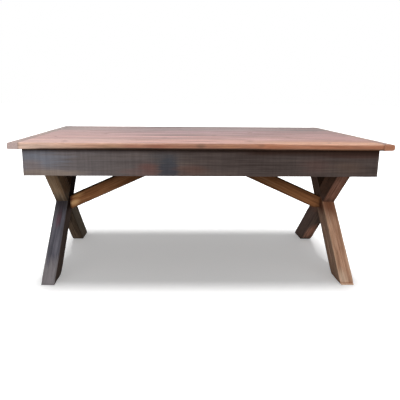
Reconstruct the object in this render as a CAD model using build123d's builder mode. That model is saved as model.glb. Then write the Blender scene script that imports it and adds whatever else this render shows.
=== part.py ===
from build123d import *
from math import asin, atan2, cos, hypot, radians, sin, tan
import os

# A sawbuck dining table. Six tongued planks and two pegged breadboard ends make the top.
# A deep apron hangs under it, and two half-lapped X-frames and two braces carry it.
# Millimetres. X runs along the table, Y across it, Z up, with the origin on the floor, centred.

# ---- overall ----
table_length = 1810
table_width = 1000
table_height = 762

# ---- top ----
top_thickness = 32
plank_count = 6
end_width = 52              # a breadboard end, along X
rim_round = 4               # worn long edges of the top
seam_arris = 1.2            # eased edge where two boards meet
left_nose_round = 5         # outer edge of the left breadboard end
right_nose_round = 13       # the right one is worn almost to a half round
tongue_thickness = 9
tongue_reach = 9            # tongue along a plank's edge
end_tongue_reach = 16       # tongue across a plank's end
end_tongue_inset = 14       # the end tongue stops short of the plank's edges
tenon_width = 60
tenon_reach = 38
tenon_travel = 3            # room for the planks to move across the breadboard end
peg_diameter = 8
peg_inset = 20              # peg centre, from the shoulder
peg_cover = 6               # wood left over a blind peg

# ---- apron ----
apron_end_setback = 59      # top's end to the apron's outer face
apron_side_setback = 24     # top's long edge to the apron's outer face
apron_height = 130
apron_thickness = 19
apron_rabbet = 10           # depth of the corner rabbet in a long board
apron_arris = 1.5
block_size = 36
block_clear = 20            # corner block to the apron's lower edge
block_bevel = 14

# ---- X-frames ----
beam_depth = 100            # in the plane of the X
beam_thickness = 74         # along X
foot_setback = 95           # top's long edge to the outer edge of a foot
beam_arris = 2
cleat_thickness = 36
cleat_depth = 80
cleat_arris = 3

# ---- braces and the batten that they meet under ----
batten_width = 150
batten_thickness = 32
brace_depth = 75            # square to its length
brace_width = 60
brace_arris = 1.5
brace_lift = 19             # brace's upper edge over the middle of the crossing
brace_seat = 59             # length of the level cut under the batten
left_heel_cut = 6           # height of the level cut at the lower tip
right_heel_cut = 18

# ---- fasteners ----
small_sides = 8             # screws, pegs and their holes have flats, to keep their faces few
bolt_sides = 12             # and so have bolts and the holes that they pass
bolt_diameter = 10
bolt_end = 3                # bolt that shows past its nut
nut_width = 17              # across its flats, as the bolt heads are
nut_height = 8
hex_head_height = 6
hex_recess_diameter = 26
hex_recess_depth = 7        # under the apron's end board
dome_diameter = 22          # head of a carriage bolt
dome_height = 5
neck_height = 6             # square neck under the dome
washer_diameter = 24
washer_thickness = 2
crossing_bolt_drop = 13     # crossing bolt under the middle of the crossing
crossing_bolt_reach = 62    # crossing bolt inside the brace
barrel_diameter = 16
barrel_length = 44
barrel_inset = 50           # barrel nut, from the brace's lower end
screw_diameter = 4.5
screw_head_diameter = 9
screw_angle = 82
screw_bite = 18             # screw in the wood that it holds
brace_screw_bite = 22
brace_screw_grip = 38
brace_screw_spacing = 30
counterbore_diameter = 14
button_length = 44
button_width = 30
button_height = 20
button_tongue = 8           # height of the tongue in the apron's groove
button_reach = 7
button_spacing = 280
button_clear = 1            # button's body to the apron's inner face

# ---- clearances ----
groove_play = 0.4           # a groove is this much wider and deeper than its tongue
fit_play = 0.2              # between fitted faces
hole_play = 0.15            # round a screw, peg or bolt, on the radius

# ---- levels and places that follow ----
underside = table_height - top_thickness
tongue_z = underside + top_thickness / 2
shoulder_x = table_length / 2 - end_width
plank_width = table_width / plank_count
plank_centres = [(number + 0.5) * plank_width - table_width / 2 for number in range(plank_count)]
peg_x = shoulder_x + peg_inset
peg_length = top_thickness - peg_cover

apron_x = table_length / 2 - apron_end_setback
apron_y = table_width / 2 - apron_side_setback
frame_outer_x = apron_x - apron_thickness
frame_inner_x = frame_outer_x - beam_thickness
frame_middle_x = (frame_outer_x + frame_inner_x) / 2
inner_y = apron_y - apron_thickness
apron_bottom = underside - apron_height
groove_top = underside - button_height + button_tongue
groove_height = button_tongue + groove_play
groove_depth = button_reach + groove_play

foot_spread = table_width / 2 - foot_setback
crossing_z = underside / 2
half_diagonal = hypot(foot_spread, crossing_z)
lean_angle = atan2(crossing_z, foot_spread) + asin(beam_depth / 2 / half_diagonal)
foot_length = beam_depth / sin(lean_angle)
cleat_x = frame_inner_x - cleat_thickness / 2
cleat_bottom = underside - cleat_depth
cleat_bolt_z = underside - cleat_depth / 2
cleat_bolt_y = (cleat_bolt_z - crossing_z) / tan(lean_angle)

batten_bottom = underside - batten_thickness
brace_low_top = crossing_z + brace_lift
brace_slope = (batten_bottom - brace_low_top) / (frame_inner_x - brace_seat)
brace_angle = atan2(brace_slope, 1)
brace_low_bottom = brace_low_top - brace_depth / cos(brace_angle)
crossing_bolt_z = crossing_z - crossing_bolt_drop
barrel_x = frame_inner_x - barrel_inset

bolt_hole = bolt_diameter / 2 + hole_play
screw_head_height = (screw_head_diameter - screw_diameter) / 2 / tan(radians(screw_angle / 2))

left_and_right = ((-1, "left"), (1, "right"))
front_and_back = ((-1, "front"), (1, "back"))

# ---- where the screws go ----
cleat_screw_points = [(side * cleat_x, y) for side in (-1, 1) for y in plank_centres]
batten_screw_points = [(side * batten_width / 3, y) for side in (-1, 1) for y in plank_centres]
middle_planks = plank_centres[plank_count // 2 - 1], plank_centres[plank_count // 2]
button_screw_inset = button_clear + button_length / 2
side_button_x = [place * button_spacing for place in (-2, -1, 1, 2)]
side_button_points = [
    (x, side * (inner_y - button_screw_inset)) for side in (-1, 1) for x in side_button_x
]
end_button_points = [
    (side * (frame_outer_x - button_screw_inset), y) for side in (-1, 1) for y in middle_planks
]
top_pilot_points = cleat_screw_points + batten_screw_points + side_button_points + end_button_points

block_x = frame_outer_x - block_size / 2
block_y = inner_y - block_size / 2
block_height = apron_height - block_clear
block_bottom = underside - block_height
brace_screw_x = brace_seat / 2
brace_screw_head_z = batten_bottom - brace_screw_grip


def keep(piece, name):
    """Label a finished piece and write it as the node of that name."""
    piece.part.label = name
    export_step(piece.part, f"parts/{name}.step")


def on_rim(edge):
    """True for an edge on the front or back of the top."""
    return abs(edge.center().Y) > table_width / 2 - seam_arris


def small_outlines(points, height, radius):
    """Level outlines with flats, at points of X and Y; radius is to the middle of a flat."""
    with BuildSketch(Plane.XY.offset(height)) as outlines:
        with Locations(*points):
            RegularPolygon(radius, small_sides, major_radius=False, rotation=180 / small_sides)
    return outlines.sketch


def screws(points, head_z, length, play=0, mode=Mode.ADD):
    """Countersunk screws driven upwards, heads flush at one height, or the holes that take them."""
    head = small_outlines(points, head_z, screw_head_diameter / 2 + play)
    extrude(head, amount=screw_head_height, taper=screw_angle / 2, mode=mode)
    extrude(small_outlines(points, head_z, screw_diameter / 2 + play), amount=length, mode=mode)


def screw_holes(points, head_z, grip):
    """Countersunk holes through the piece in hand."""
    screws(points, head_z, grip, hole_play, Mode.SUBTRACT)


def pilot_holes(points, height, depth):
    """Holes drilled up into the piece in hand, for the screws' points."""
    outlines = small_outlines(points, height, screw_diameter / 2 + hole_play)
    extrude(outlines, amount=depth + hole_play, mode=Mode.SUBTRACT)


def bolt_outline(radius, mode=Mode.ADD):
    """An outline with flats, in the sketch in hand; radius is to the middle of a flat."""
    RegularPolygon(radius, bolt_sides, major_radius=False, rotation=180 / bolt_sides, mode=mode)


def bolt_bore(places, radius, depth):
    """Holes bored into the piece in hand, from planes that look out of it."""
    with BuildSketch(*places) as outlines:
        bolt_outline(radius)
    extrude(outlines.sketch, amount=-depth, mode=Mode.SUBTRACT)


def hex_bolt(length):
    """Hexagon bolt: the head's underside is at the origin, the shank points down."""
    with BuildPart() as bolt:
        with BuildSketch():
            RegularPolygon(nut_width / 2, side_count=6, major_radius=False)
        extrude(amount=hex_head_height)
        with BuildSketch():
            bolt_outline(bolt_diameter / 2)
        extrude(amount=-length)
    return bolt.part


def carriage_bolt(length):
    """Domed bolt with a square neck: the head's underside is at the origin, the shank points down."""
    with BuildPart() as bolt:
        with BuildSketch(Plane.XZ):
            with BuildLine():
                TangentArc((0, dome_height), (dome_diameter / 2, 0), tangent=(1, 0))
                Polyline((dome_diameter / 2, 0), (0, 0), (0, dome_height))
            make_face()
        revolve(axis=Axis.Z)
        with BuildSketch():
            bolt_outline(bolt_diameter / 2)
        extrude(amount=-length)
        with BuildSketch():
            Rectangle(bolt_diameter, bolt_diameter)
        extrude(amount=-neck_height)
    return bolt.part


def beam_outline(lean, x, play=0):
    """Side view of one beam of an X-frame; lean is 1 with its foot in front and -1 behind."""
    with BuildSketch(Plane.YZ.offset(x)) as outline:
        with BuildLine():
            Polyline(
                (-lean * foot_spread, 0),
                (-lean * (foot_spread - foot_length), 0),
                (lean * foot_spread, underside),
                (lean * (foot_spread - foot_length), underside),
                close=True,
            )
        make_face()
        if play:
            offset(amount=play, kind=Kind.INTERSECTION)
    return outline.sketch


os.makedirs("parts", exist_ok=True)

# ---- planks: tongue on the back edge, groove on the front edge, tongue and tenon at both ends ----
for number, centre_y in enumerate(plank_centres, start=1):
    is_front, is_back = number == 1, number == plank_count
    front_y, back_y = centre_y - plank_width / 2, centre_y + plank_width / 2
    with BuildPart() as plank:
        with BuildSketch(Plane.YZ.offset(-shoulder_x)):
            with Locations((centre_y, tongue_z)):
                Rectangle(plank_width, top_thickness)
            if not is_back:
                with Locations((back_y, tongue_z)):
                    Rectangle(2 * tongue_reach, tongue_thickness)
            if not is_front:
                with Locations((front_y, tongue_z)):
                    Rectangle(
                        2 * (tongue_reach + groove_play),
                        tongue_thickness + groove_play,
                        mode=Mode.SUBTRACT,
                    )
        extrude(amount=2 * shoulder_x)
        top_edges = plank.faces().sort_by(Axis.Z)[-1].edges()
        chamfer(top_edges.filter_by(lambda edge: not on_rim(edge)), seam_arris)
        if is_front or is_back:
            fillet(plank.edges().filter_by(Axis.X).filter_by(on_rim), rim_round)
        with BuildSketch(Plane.XY.offset(tongue_z)):
            with Locations((0, centre_y)):
                Rectangle(2 * (shoulder_x + end_tongue_reach), plank_width - 2 * end_tongue_inset)
                Rectangle(2 * (shoulder_x + tenon_reach), tenon_width)
            with Locations((-peg_x, centre_y), (peg_x, centre_y)):
                Rectangle(
                    peg_diameter + 2 * hole_play,
                    peg_diameter + 2 * tenon_travel,
                    mode=Mode.SUBTRACT,
                )
        extrude(amount=tongue_thickness / 2, both=True)
        pilot_points = [(x, y) for x, y in top_pilot_points if front_y < y < back_y]
        pilot_holes(pilot_points, underside, screw_bite)
    keep(plank, f"plank_{number}")

# ---- breadboard ends: a stopped groove and six mortises take the planks, pegged from below ----
for side, side_name in left_and_right:
    nose_round = min(right_nose_round if side > 0 else left_nose_round, 0.45 * top_thickness)
    with BuildPart() as end_board:
        with BuildSketch(Plane.XZ.offset(-table_width / 2)) as section:
            with Locations((side * (shoulder_x + end_width / 2), tongue_z)):
                Rectangle(end_width, top_thickness)
            fillet(section.vertices().group_by(Axis.X)[-1 if side > 0 else 0], nose_round)
        extrude(amount=table_width)
        top_edges = end_board.faces().sort_by(Axis.Z)[-1].edges().filter_by(Axis.Y)
        chamfer(top_edges.sort_by(Axis.X)[0 if side > 0 else -1], seam_arris)
        with BuildSketch(Plane.XY.offset(tongue_z)):
            with Locations((side * shoulder_x, 0)):
                Rectangle(
                    2 * (end_tongue_reach + groove_play),
                    table_width - 2 * (end_tongue_inset - tenon_travel),
                )
            with Locations(*[(side * shoulder_x, y) for y in plank_centres]):
                Rectangle(2 * (tenon_reach + groove_play), tenon_width + 2 * tenon_travel)
        extrude(amount=(tongue_thickness + groove_play) / 2, both=True, mode=Mode.SUBTRACT)
        peg_points = [(side * peg_x, y) for y in plank_centres]
        peg_holes = small_outlines(peg_points, underside, peg_diameter / 2 + hole_play)
        extrude(peg_holes, amount=peg_length + hole_play, mode=Mode.SUBTRACT)
    keep(end_board, f"breadboard_end_{side_name}")

    with BuildPart() as pegs:
        extrude(small_outlines(peg_points, underside, peg_diameter / 2), amount=peg_length)
    keep(pegs, f"breadboard_pegs_{side_name}")

# ---- apron: long boards in front and behind, rabbeted over the end boards ----
for side, side_name in front_and_back:
    with BuildPart() as long_apron:
        with BuildSketch(Plane.XY.offset(apron_bottom)):
            with Locations((0, side * (apron_y - apron_thickness / 2))):
                Rectangle(2 * apron_x, apron_thickness)
            corner_x = apron_x - apron_thickness / 2
            with Locations((-corner_x, side * inner_y), (corner_x, side * inner_y)):
                Rectangle(apron_thickness, 2 * apron_rabbet, mode=Mode.SUBTRACT)
        extrude(amount=apron_height)
        low_edges = long_apron.faces().sort_by(Axis.Z)[0].edges().filter_by(Axis.X)
        chamfer(low_edges.sort_by(Axis.Y)[0 if side < 0 else -1], apron_arris)
        with BuildSketch(Plane.YZ.offset(-frame_outer_x)):
            with Locations((side * inner_y, groove_top - groove_height / 2)):
                Rectangle(2 * groove_depth, groove_height)
        extrude(amount=2 * frame_outer_x, mode=Mode.SUBTRACT)
    keep(long_apron, f"apron_{side_name}")

for side, side_name in left_and_right:
    with BuildPart() as end_apron:
        with BuildSketch(Plane.XY.offset(apron_bottom)):
            with Locations((side * (apron_x - apron_thickness / 2), 0)):
                Rectangle(apron_thickness, 2 * (inner_y + apron_rabbet - fit_play))
        extrude(amount=apron_height)
        low_edges = end_apron.faces().sort_by(Axis.Z)[0].edges().filter_by(Axis.Y)
        chamfer(low_edges.sort_by(Axis.X)[0 if side < 0 else -1], apron_arris)
        with BuildSketch(Plane.XZ.offset(-inner_y)):
            with Locations((side * frame_outer_x, groove_top - groove_height / 2)):
                Rectangle(2 * groove_depth, groove_height)
        extrude(amount=2 * inner_y, mode=Mode.SUBTRACT)
    keep(end_apron, f"apron_{side_name}")

# ---- corner blocks, glued to both boards ----
for end_side, end_name in left_and_right:
    for long_side, long_name in front_and_back:
        with BuildPart() as block:
            with BuildSketch(Plane.XY.offset(block_bottom)):
                with Locations((end_side * block_x, long_side * block_y)):
                    Rectangle(block_size, block_size)
            extrude(amount=block_height)
            upright_edges = block.edges().filter_by(Axis.Z)
            inner_edge = upright_edges.sort_by(lambda edge: hypot(edge.center().X, edge.center().Y))[0]
            chamfer(inner_edge, block_bevel)
        keep(block, f"corner_block_{long_name}_{end_name}")

# ---- X-frames: two beams each, halved into one another where they cross ----
cleat_bolt_places = []
crossing_bolt_places = []
for side, side_name in left_and_right:
    outward = (side, 0, 0)
    crossing_bolt_place = Plane((side * frame_outer_x, 0, crossing_bolt_z), z_dir=outward)
    crossing_bolt_places.append(crossing_bolt_place)
    for lean, foot_name in ((1, "front"), (-1, "back")):
        bolt_y = lean * cleat_bolt_y
        bolt_face = Plane((side * frame_outer_x, bolt_y, cleat_bolt_z), z_dir=outward)
        cleat_bolt_place = bolt_face.offset(-hex_recess_depth)
        cleat_bolt_places.append(cleat_bolt_place)
        beam_low_x = min(side * frame_inner_x, side * frame_outer_x)
        # The beam with its foot in front keeps the inner half of the lap, the other the outer half.
        cut_face_x = frame_outer_x if lean > 0 else frame_inner_x
        lap_low_x = min(side * frame_middle_x, side * cut_face_x)
        with BuildPart() as beam:
            extrude(beam_outline(lean, beam_low_x), amount=beam_thickness)
            along_beam = Axis((0, 0, 0), (0, lean * cos(lean_angle), sin(lean_angle)))
            chamfer(beam.edges().filter_by(along_beam), beam_arris)
            extrude(
                beam_outline(-lean, lap_low_x, fit_play),
                amount=beam_thickness / 2,
                mode=Mode.SUBTRACT,
            )
            bolt_bore([bolt_face, crossing_bolt_place], bolt_hole, beam_thickness)
            bolt_bore([bolt_face], hex_recess_diameter / 2, hex_recess_depth)
            with BuildSketch(crossing_bolt_place):
                Rectangle(bolt_diameter + 2 * hole_play, bolt_diameter + 2 * hole_play)
            extrude(amount=-neck_height, mode=Mode.SUBTRACT)
        keep(beam, f"leg_{foot_name}_{side_name}")

# ---- leg cleats: screwed up into every plank, bolted to the tops of the beams ----
for side, side_name in left_and_right:
    with BuildPart() as cleat:
        with BuildSketch(Plane.XY.offset(cleat_bottom)):
            with Locations((side * cleat_x, 0)):
                Rectangle(cleat_thickness, 2 * (inner_y - fit_play))
        extrude(amount=cleat_depth)
        low_edges = cleat.faces().sort_by(Axis.Z)[0].edges().filter_by(Axis.Y)
        chamfer(low_edges.sort_by(Axis.X)[0 if side > 0 else -1], cleat_arris)
        bolt_faces = [
            Plane((side * frame_inner_x, place * cleat_bolt_y, cleat_bolt_z), z_dir=(side, 0, 0))
            for place in (-1, 1)
        ]
        bolt_bore(bolt_faces, bolt_hole, cleat_thickness)
        screw_points = [(side * cleat_x, y) for y in plank_centres]
        screw_holes(screw_points, batten_bottom, batten_thickness)
        counterbores = small_outlines(screw_points, cleat_bottom, counterbore_diameter / 2)
        extrude(counterbores, amount=batten_bottom - cleat_bottom, mode=Mode.SUBTRACT)
    keep(cleat, f"leg_cleat_{side_name}")

# ---- centre batten, under the middle of every plank ----
brace_screw_points = [
    (side * brace_screw_x, place * brace_screw_spacing / 2) for side in (-1, 1) for place in (-1, 1)
]
with BuildPart() as batten:
    with BuildSketch(Plane.XY.offset(batten_bottom)):
        Rectangle(batten_width, 2 * (inner_y - fit_play))
    extrude(amount=batten_thickness)
    chamfer(batten.faces().sort_by(Axis.Z)[0].edges().filter_by(Axis.Y), cleat_arris)
    screw_holes(batten_screw_points, batten_bottom, batten_thickness)
    pilot_holes(brace_screw_points, batten_bottom, brace_screw_bite)
keep(batten, "centre_batten")

# ---- braces: from the inner face of each crossing up to the batten, where they butt ----
barrel_places = []
for side, side_name in left_and_right:
    heel_cut = right_heel_cut if side > 0 else left_heel_cut
    heel_z = brace_low_bottom + heel_cut
    barrel_place = Plane((side * barrel_x, 0, crossing_bolt_z), z_dir=(0, 1, 0))
    barrel_places.append(barrel_place)
    with BuildPart() as brace:
        with BuildSketch(Plane.XZ.offset(-brace_width / 2)):
            with BuildLine():
                Polyline(
                    (side * fit_play, batten_bottom),
                    (side * brace_seat, batten_bottom),
                    (side * frame_inner_x, brace_low_top),
                    (side * frame_inner_x, heel_z),
                    (side * (frame_inner_x - heel_cut / brace_slope), heel_z),
                    (side * fit_play, brace_low_bottom + brace_slope * (frame_inner_x - fit_play)),
                    close=True,
                )
            make_face()
        extrude(amount=brace_width)
        along_brace = Axis((0, 0, 0), (side, 0, -brace_slope))
        chamfer(brace.edges().filter_by(along_brace), brace_arris)
        lower_end = Plane((side * frame_inner_x, 0, crossing_bolt_z), z_dir=(side, 0, 0))
        bolt_bore([lower_end], bolt_hole, crossing_bolt_reach + hole_play)
        with Locations(barrel_place.offset(brace_width / 2)):
            Hole(barrel_diameter / 2 + hole_play, (brace_width + barrel_length) / 2 + hole_play)
        own_screw_points = [(x, y) for x, y in brace_screw_points if x * side > 0]
        screw_holes(own_screw_points, brace_screw_head_z, brace_screw_grip)
        counterbore_z = brace_screw_head_z - brace_depth
        counterbores = small_outlines(own_screw_points, counterbore_z, counterbore_diameter / 2)
        extrude(counterbores, amount=brace_depth, mode=Mode.SUBTRACT)
    keep(brace, f"brace_{side_name}")

# ---- bolts, nuts and washers ----
cleat_bolt = hex_bolt(
    beam_thickness - hex_recess_depth + cleat_thickness + washer_thickness + nut_height + bolt_end
)
with BuildPart() as cleat_bolts:
    with Locations(*cleat_bolt_places):
        add(cleat_bolt)
keep(cleat_bolts, "cleat_bolts")

cleat_inner_x = frame_inner_x - cleat_thickness
cleat_bolt_ends = [
    Plane((side * cleat_inner_x, place * cleat_bolt_y, cleat_bolt_z), z_dir=(-side, 0, 0))
    for side in (-1, 1)
    for place in (-1, 1)
]
with BuildPart() as cleat_washers:
    with BuildSketch(*cleat_bolt_ends):
        bolt_outline(washer_diameter / 2)
        bolt_outline(bolt_hole, mode=Mode.SUBTRACT)
    extrude(amount=washer_thickness)
keep(cleat_washers, "cleat_washers")

with BuildPart() as cleat_nuts:
    with BuildSketch(*[place.offset(washer_thickness) for place in cleat_bolt_ends]):
        RegularPolygon(nut_width / 2, side_count=6, major_radius=False)
        bolt_outline(bolt_hole, mode=Mode.SUBTRACT)
    extrude(amount=nut_height)
keep(cleat_nuts, "cleat_nuts")

crossing_bolt = carriage_bolt(beam_thickness + crossing_bolt_reach)
with BuildPart() as crossing_bolts:
    with Locations(*crossing_bolt_places):
        add(crossing_bolt)
keep(crossing_bolts, "crossing_bolts")

with BuildPart() as barrel_nuts:
    with BuildSketch(*[place.offset(-barrel_length / 2) for place in barrel_places]):
        Circle(barrel_diameter / 2)
    extrude(amount=barrel_length)
    bolt_bore(crossing_bolt_places, bolt_hole, beam_thickness + crossing_bolt_reach)
keep(barrel_nuts, "barrel_nuts")

# ---- buttons: hooked in the apron's groove, screwed to the top ----
with BuildPart() as button:
    with BuildSketch(Plane.XZ.offset(-button_width / 2)):
        with BuildLine():
            Polyline(
                (-button_reach, -button_height),
                (button_clear + button_length, -button_height),
                (button_clear + button_length, 0),
                (button_clear, 0),
                (button_clear, button_tongue - button_height),
                (-button_reach, button_tongue - button_height),
                close=True,
            )
        make_face()
    extrude(amount=button_width)
    screw_holes([(button_screw_inset, 0)], -button_height, button_height)

side_button_places = [
    Location((x, side * inner_y, underside), (0, 0, -90 * side)) for side in (-1, 1) for x in side_button_x
]
end_button_places = [
    Location((side * frame_outer_x, y, underside), (0, 0, 90 + 90 * side))
    for side in (-1, 1)
    for y in middle_planks
]
with BuildPart() as buttons:
    with Locations(*side_button_places, *end_button_places):
        add(button.part)
keep(buttons, "apron_buttons")

# ---- screws ----
with BuildPart() as button_screws:
    button_screw_z = underside - button_height
    screws(side_button_points + end_button_points, button_screw_z, button_height + screw_bite)
keep(button_screws, "button_screws")

with BuildPart() as top_screws:
    screws(cleat_screw_points + batten_screw_points, batten_bottom, batten_thickness + screw_bite)
keep(top_screws, "top_screws")

with BuildPart() as brace_screws:
    screws(brace_screw_points, brace_screw_head_z, brace_screw_grip + brace_screw_bite)
keep(brace_screws, "brace_screws")
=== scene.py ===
from math import atan2, cos, pi, radians, sin, tan

import bmesh
import bpy
import numpy as np
from mathutils import Matrix, Vector, noise


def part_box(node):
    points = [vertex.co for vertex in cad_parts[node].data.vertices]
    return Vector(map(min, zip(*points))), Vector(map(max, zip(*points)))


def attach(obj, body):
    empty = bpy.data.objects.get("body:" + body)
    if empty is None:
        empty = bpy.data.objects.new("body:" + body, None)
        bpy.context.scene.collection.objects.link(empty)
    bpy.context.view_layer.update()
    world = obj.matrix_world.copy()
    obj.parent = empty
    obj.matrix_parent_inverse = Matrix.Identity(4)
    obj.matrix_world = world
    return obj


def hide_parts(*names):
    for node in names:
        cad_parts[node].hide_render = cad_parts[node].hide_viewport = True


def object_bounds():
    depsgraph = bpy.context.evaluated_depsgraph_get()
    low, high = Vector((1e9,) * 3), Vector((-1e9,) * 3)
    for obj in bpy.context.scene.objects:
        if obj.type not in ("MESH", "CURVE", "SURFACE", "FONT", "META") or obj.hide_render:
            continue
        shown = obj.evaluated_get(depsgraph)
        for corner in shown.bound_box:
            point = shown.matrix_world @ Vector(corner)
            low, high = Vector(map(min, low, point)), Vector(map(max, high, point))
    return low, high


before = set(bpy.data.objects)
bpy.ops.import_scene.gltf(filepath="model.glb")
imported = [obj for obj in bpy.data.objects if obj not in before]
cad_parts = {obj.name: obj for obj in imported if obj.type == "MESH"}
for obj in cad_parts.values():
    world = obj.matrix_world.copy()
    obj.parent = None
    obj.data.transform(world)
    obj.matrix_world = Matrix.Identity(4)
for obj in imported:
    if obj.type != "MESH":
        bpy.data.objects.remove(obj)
cad_low, cad_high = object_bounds()

# A sawbuck table of reclaimed timber. Metres here, with the real sizes given in millimetres.
MM = 0.001
X, Y, Z = Vector((1, 0, 0)), Vector((0, 1, 0)), Vector((0, 0, 1))

SAME_POINT = 0.01 * MM          # corners nearer than this are one corner
SAME_PLANE = 0.9995             # the cosine between the normals of one plane
SAME_FACE = 0.93                # and of planes that wear as one face
SHARP_ANGLE = radians(28)       # arrises sharper than this stay crisp
NEAR_CUTS = (5, 12)             # mm from an arris, where a worn face bends
FACE_CUTS, GRAIN_CUTS = 24, 16  # mm apart, on the rest of the face and along the grain
WEAR_REACH = 13                 # mm from an arris that handling has rounded and rubbed pale
SEAM_REACH = 3                  # mm from a seam that dirt has gathered in
SLOW_WEAR, QUICK_WEAR = 7, 38   # swings in the wear to each metre
HOLLOWS = Vector((4, 19, 19))   # hollows in a face to each metre, long ones along X
FOOT_WEAR = 2.5                 # how much more an arris wears at the floor
FOOT_WEAR_HEIGHT = 25           # mm
CHECK_HALF_WIDTH = 0.5          # mm, of a drying check where it is widest
CHECK_DEPTH = 3                 # mm
CHECK_WANDER = 3                # mm that it strays to the side
CHECK_DARKNESS = 1.5            # of the dirt in it, where a seam has 1

TOP_Z = cad_high.z
VARNISH_STOPS_Z = TOP_Z - 27 * MM       # the top's boards are bare below it
SHOULDER_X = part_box("breadboard_end_right")[0].x
PLANK_COUNT = 6
PLANK_WIDTH = (cad_high.y - cad_low.y) / PLANK_COUNT


# ---- nodes ----
def linear(code):
    """A hex colour as written for a screen, in the linear values that shaders use."""
    def channel(value):
        return value / 12.92 if value <= 0.04045 else ((value + 0.055) / 1.055) ** 2.4
    return (*[channel(int(code[place:place + 2], 16) / 255) for place in (1, 3, 5)], 1)


def connect(tree, node, sockets):
    """Sets a node's sockets to values or links. A node given stands for the output it has in use."""
    for name, value in sockets.items():
        if isinstance(value, bpy.types.Node):
            value = next(output for output in value.outputs if output.enabled)
        if isinstance(value, bpy.types.NodeSocket):
            tree.links.new(value, node.inputs[name])
        else:
            node.inputs[name].default_value = value


def add(tree, kind, sockets=None, stops=(), **settings):
    """Adds a node: its settings, its sockets and the stops of its colour ramp."""
    node = tree.nodes.new("ShaderNode" + kind)
    for name, value in settings.items():
        setattr(node, name, value)
    connect(tree, node, sockets or {})
    if stops:
        elements = node.color_ramp.elements
        while len(elements) < len(stops):
            elements.new(0.5)
        for element, (place, colour) in zip(elements, stops):
            element.position = place
            element.color = colour
    return node


def start_material(name):
    """An empty node material, with its tree and its shader."""
    material = bpy.data.materials.new(name)
    material.use_nodes = True
    tree = material.node_tree
    tree.nodes.clear()
    shader = add(tree, "BsdfPrincipled")
    add(tree, "OutputMaterial", {"Surface": shader})
    return material, tree, shader


class Timber:
    """The finish of a board as it is built up: its grain's turn, its knots and the colour so far."""

    def __init__(self, name, grain, knots=()):
        self.material, self.tree, self.shader = start_material(name)
        self.turn = X.rotation_difference(grain).to_euler()
        self.plain = add(self.tree, "TexCoord").outputs["Object"]
        self.normal = add(self.tree, "TexCoord").outputs["Normal"]
        self.place = self.plain
        self.colour = None
        for spot, size, _ in knots:
            # The grain flows round a knot, so the patterns near it are drawn out from its middle.
            pull = self.add("MapRange", {0: self.distance(spot, 5 * size, 2.4 * size), 3: 0.85, 4: 0},
                            interpolation_type="SMOOTHSTEP")
            way = self.add("VectorMath", {0: Vector(spot) * MM, 1: self.place}, operation="SUBTRACT")
            self.place = self.add("VectorMath", {0: way, 1: pull, 2: self.place},
                                  operation="MULTIPLY_ADD")

    def add(self, kind, sockets=None, stops=(), **settings):
        return add(self.tree, kind, sockets, stops, **settings)

    def distance(self, spot, length, width):
        """How far a point is from a spot in mm, as a share of a length along the grain and a width."""
        local = self.add("Mapping", {
            "Vector": self.plain, "Location": Vector(spot) * MM, "Rotation": self.turn,
            "Scale": Vector((length, width, width)) * MM}, vector_type="TEXTURE")
        return self.add("VectorMath", {0: local}, operation="LENGTH")

    def drawn_out(self, away, length, width):
        """Coordinates along and across the grain, in units of a pattern's length and width in mm."""
        return self.add("Mapping", {
            "Vector": self.place, "Location": away, "Rotation": self.turn,
            "Scale": Vector((length, width, width)) * MM}, vector_type="TEXTURE")

    def pattern(self, away, length, width, detail, roughness=0.6):
        """Noise drawn out along the grain."""
        return self.add("TexNoise", {
            "Vector": self.drawn_out(away, length, width), "Scale": 1, "Detail": detail,
            "Roughness": roughness}).outputs[0]

    def cover(self, share, code):
        """Lays another colour over the colour so far."""
        self.colour = self.add("Mix", {0: share, 6: self.colour, 7: linear(code)}, data_type="RGBA")

    def shade(self, pattern, low, high, spread):
        """Darkens and lightens the colour so far where a pattern is low and high."""
        factor = self.add("MapRange", {0: pattern, 1: low, 2: high, 3: 1 - spread, 4: 1 + spread})
        self.colour = self.add("Mix", {0: 1, 6: self.colour, 7: factor}, data_type="RGBA",
                               blend_type="MULTIPLY")


TONE_SWING = 0.13               # how far the noise of the tones swings either way from its middle
GRAIN_SHADE = 0.16              # how much lines and fibres darken and lighten a plain board


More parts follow.
